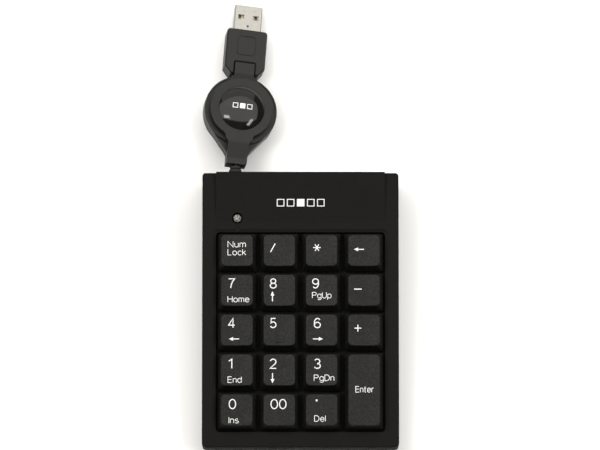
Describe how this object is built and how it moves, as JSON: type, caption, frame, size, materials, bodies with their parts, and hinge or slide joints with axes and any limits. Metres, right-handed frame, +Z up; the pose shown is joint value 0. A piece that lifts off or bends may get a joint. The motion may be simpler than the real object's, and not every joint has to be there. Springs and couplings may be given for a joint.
{
  "type": "numeric keypad",
  "caption": "Black desktop numeric keypad with sculpted keys, a wedge case, a status lamp, and a flat lead on a round retracting reel that holds a USB plug.",
  "frame": {"origin": "on the desk, below the middle of the case", "axes": "+X to the right of a person who types, +Y towards the rear edge and the reel, +Z up"},
  "size_m": [0.0843, 0.1955, 0.0266],
  "materials": {
    "case": "fine matte texture",
    "keycap": "fine speckled matte",
    "reel": "satin",
    "gloss": "polished",
    "spool": "moulded",
    "rubber": "matte",
    "silicone": "translucent matte",
    "film": "clear film",
    "board": "solder mask",
    "chip": "epoxy",
    "led": "clear resin",
    "cord": "soft matte",
    "steel": "zinc plated",
    "plated": "satin nickel",
    "insulator": "moulded",
    "contacts": "gold flash"
  },
  "bodies": {
    "keypad": {"top_cover": "case", "bottom_cover": "case", "case_screws": "steel", "rubber_feet": "rubber", "dome_sheet": "silicone", "membrane_top": "film", "membrane_spacer": "film", "membrane_bottom": "film", "controller_board": "board", "controller_chip": "chip", "membrane_clamp": "case", "clamp_screws": "steel", "indicator_led": "led", "strain_relief": "rubber", "keypad_cord": "cord", "lead_wires": "cord"},
    "key_num_lock": {"key_num_lock": "keycap"},
    "key_divide": {"key_divide": "keycap"},
    "key_multiply": {"key_multiply": "keycap"},
    "key_backspace": {"key_backspace": "keycap"},
    "key_7": {"key_7": "keycap"},
    "key_8": {"key_8": "keycap"},
    "key_9": {"key_9": "keycap"},
    "key_minus": {"key_minus": "keycap"},
    "key_4": {"key_4": "keycap"},
    "key_5": {"key_5": "keycap"},
    "key_6": {"key_6": "keycap"},
    "key_plus": {"key_plus": "keycap"},
    "key_1": {"key_1": "keycap"},
    "key_2": {"key_2": "keycap"},
    "key_3": {"key_3": "keycap"},
    "key_0": {"key_0": "keycap"},
    "key_00": {"key_00": "keycap"},
    "key_decimal": {"key_decimal": "keycap"},
    "key_enter": {"key_enter": "keycap"},
    "reel": {"reel_back_shell": "reel", "reel_front_shell": "reel", "reel_cap": "gloss", "reel_screw": "steel", "reel_spring": "steel", "reel_cord_keypad_side": "cord", "reel_cord_plug_side": "cord"},
    "spool": {"reel_spool": "spool"},
    "plug": {"plug_body": "reel", "plug_cord": "cord", "plug_shell": "plated", "plug_tongue": "insulator", "plug_contacts": "contacts"}
  },
  "joints": [
    {"name": "key_num_lock_press", "type": "slide", "parent": "keypad", "child": "key_num_lock", "axis": [0, 0.0958, -0.9954], "range_m": [0, 0.0028], "stiffness_N_per_m": 150, "springref_m": -0.001, "deforming": ["dome_sheet"]},
    {"name": "key_divide_press", "type": "slide", "parent": "keypad", "child": "key_divide", "axis": [0, 0.0958, -0.9954], "range_m": [0, 0.0028], "stiffness_N_per_m": 150, "springref_m": -0.001, "deforming": ["dome_sheet"]},
    {"name": "key_multiply_press", "type": "slide", "parent": "keypad", "child": "key_multiply", "axis": [0, 0.0958, -0.9954], "range_m": [0, 0.0028], "stiffness_N_per_m": 150, "springref_m": -0.001, "deforming": ["dome_sheet"]},
    {"name": "key_backspace_press", "type": "slide", "parent": "keypad", "child": "key_backspace", "axis": [0, 0.0958, -0.9954], "range_m": [0, 0.0028], "stiffness_N_per_m": 150, "springref_m": -0.001, "deforming": ["dome_sheet"]},
    {"name": "key_7_press", "type": "slide", "parent": "keypad", "child": "key_7", "axis": [0, 0.0958, -0.9954], "range_m": [0, 0.0028], "stiffness_N_per_m": 150, "springref_m": -0.001, "deforming": ["dome_sheet"]},
    {"name": "key_8_press", "type": "slide", "parent": "keypad", "child": "key_8", "axis": [0, 0.0958, -0.9954], "range_m": [0, 0.0028], "stiffness_N_per_m": 150, "springref_m": -0.001, "deforming": ["dome_sheet"]},
    {"name": "key_9_press", "type": "slide", "parent": "keypad", "child": "key_9", "axis": [0, 0.0958, -0.9954], "range_m": [0, 0.0028], "stiffness_N_per_m": 150, "springref_m": -0.001, "deforming": ["dome_sheet"]},
    {"name": "key_minus_press", "type": "slide", "parent": "keypad", "child": "key_minus", "axis": [0, 0.0958, -0.9954], "range_m": [0, 0.0028], "stiffness_N_per_m": 150, "springref_m": -0.001, "deforming": ["dome_sheet"]},
    {"name": "key_4_press", "type": "slide", "parent": "keypad", "child": "key_4", "axis": [0, 0.0958, -0.9954], "range_m": [0, 0.0028], "stiffness_N_per_m": 150, "springref_m": -0.001, "deforming": ["dome_sheet"]},
    {"name": "key_5_press", "type": "slide", "parent": "keypad", "child": "key_5", "axis": [0, 0.0958, -0.9954], "range_m": [0, 0.0028], "stiffness_N_per_m": 150, "springref_m": -0.001, "deforming": ["dome_sheet"]},
    {"name": "key_6_press", "type": "slide", "parent": "keypad", "child": "key_6", "axis": [0, 0.0958, -0.9954], "range_m": [0, 0.0028], "stiffness_N_per_m": 150, "springref_m": -0.001, "deforming": ["dome_sheet"]},
    {"name": "key_plus_press", "type": "slide", "parent": "keypad", "child": "key_plus", "axis": [0, 0.0958, -0.9954], "range_m": [0, 0.0028], "stiffness_N_per_m": 150, "springref_m": -0.001, "deforming": ["dome_sheet"]},
    {"name": "key_1_press", "type": "slide", "parent": "keypad", "child": "key_1", "axis": [0, 0.0958, -0.9954], "range_m": [0, 0.0028], "stiffness_N_per_m": 150, "springref_m": -0.001, "deforming": ["dome_sheet"]},
    {"name": "key_2_press", "type": "slide", "parent": "keypad", "child": "key_2", "axis": [0, 0.0958, -0.9954], "range_m": [0, 0.0028], "stiffness_N_per_m": 150, "springref_m": -0.001, "deforming": ["dome_sheet"]},
    {"name": "key_3_press", "type": "slide", "parent": "keypad", "child": "key_3", "axis": [0, 0.0958, -0.9954], "range_m": [0, 0.0028], "stiffness_N_per_m": 150, "springref_m": -0.001, "deforming": ["dome_sheet"]},
    {"name": "key_0_press", "type": "slide", "parent": "keypad", "child": "key_0", "axis": [0, 0.0958, -0.9954], "range_m": [0, 0.0028], "stiffness_N_per_m": 150, "springref_m": -0.001, "deforming": ["dome_sheet"]},
    {"name": "key_00_press", "type": "slide", "parent": "keypad", "child": "key_00", "axis": [0, 0.0958, -0.9954], "range_m": [0, 0.0028], "stiffness_N_per_m": 150, "springref_m": -0.001, "deforming": ["dome_sheet"]},
    {"name": "key_decimal_press", "type": "slide", "parent": "keypad", "child": "key_decimal", "axis": [0, 0.0958, -0.9954], "range_m": [0, 0.0028], "stiffness_N_per_m": 150, "springref_m": -0.001, "deforming": ["dome_sheet"]},
    {"name": "key_enter_press", "type": "slide", "parent": "keypad", "child": "key_enter", "axis": [0, 0.0958, -0.9954], "range_m": [0, 0.0028], "stiffness_N_per_m": 150, "springref_m": -0.001, "deforming": ["dome_sheet"]},
    {"name": "reel_pull", "type": "slide", "parent": "keypad", "child": "reel", "axis": [0.0732, 0.9973, 0], "range_m": [0, 0.23], "stiffness_N_per_m": 4, "springref_m": -0.05},
    {"name": "plug_pull", "type": "slide", "parent": "reel", "child": "plug", "axis": [0.0732, 0.9973, 0], "range_m": [0, 0.23]},
    {"name": "spool_spin", "type": "hinge", "parent": "reel", "child": "spool", "pos_m": [-0.02622, 0.08787, 0.01141], "axis": [0.1666, 0.1324, 0.9771], "range_deg": [0, 1385], "deforming": ["reel_cord_keypad_side", "reel_cord_plug_side", "reel_spring"]}
  ],
  "couplings": [
    {"joint": "plug_pull", "follows": "reel_pull", "ratio": 1},
    {"joint": "spool_spin", "follows": "reel_pull", "rad_per_m": 105}
  ]
}
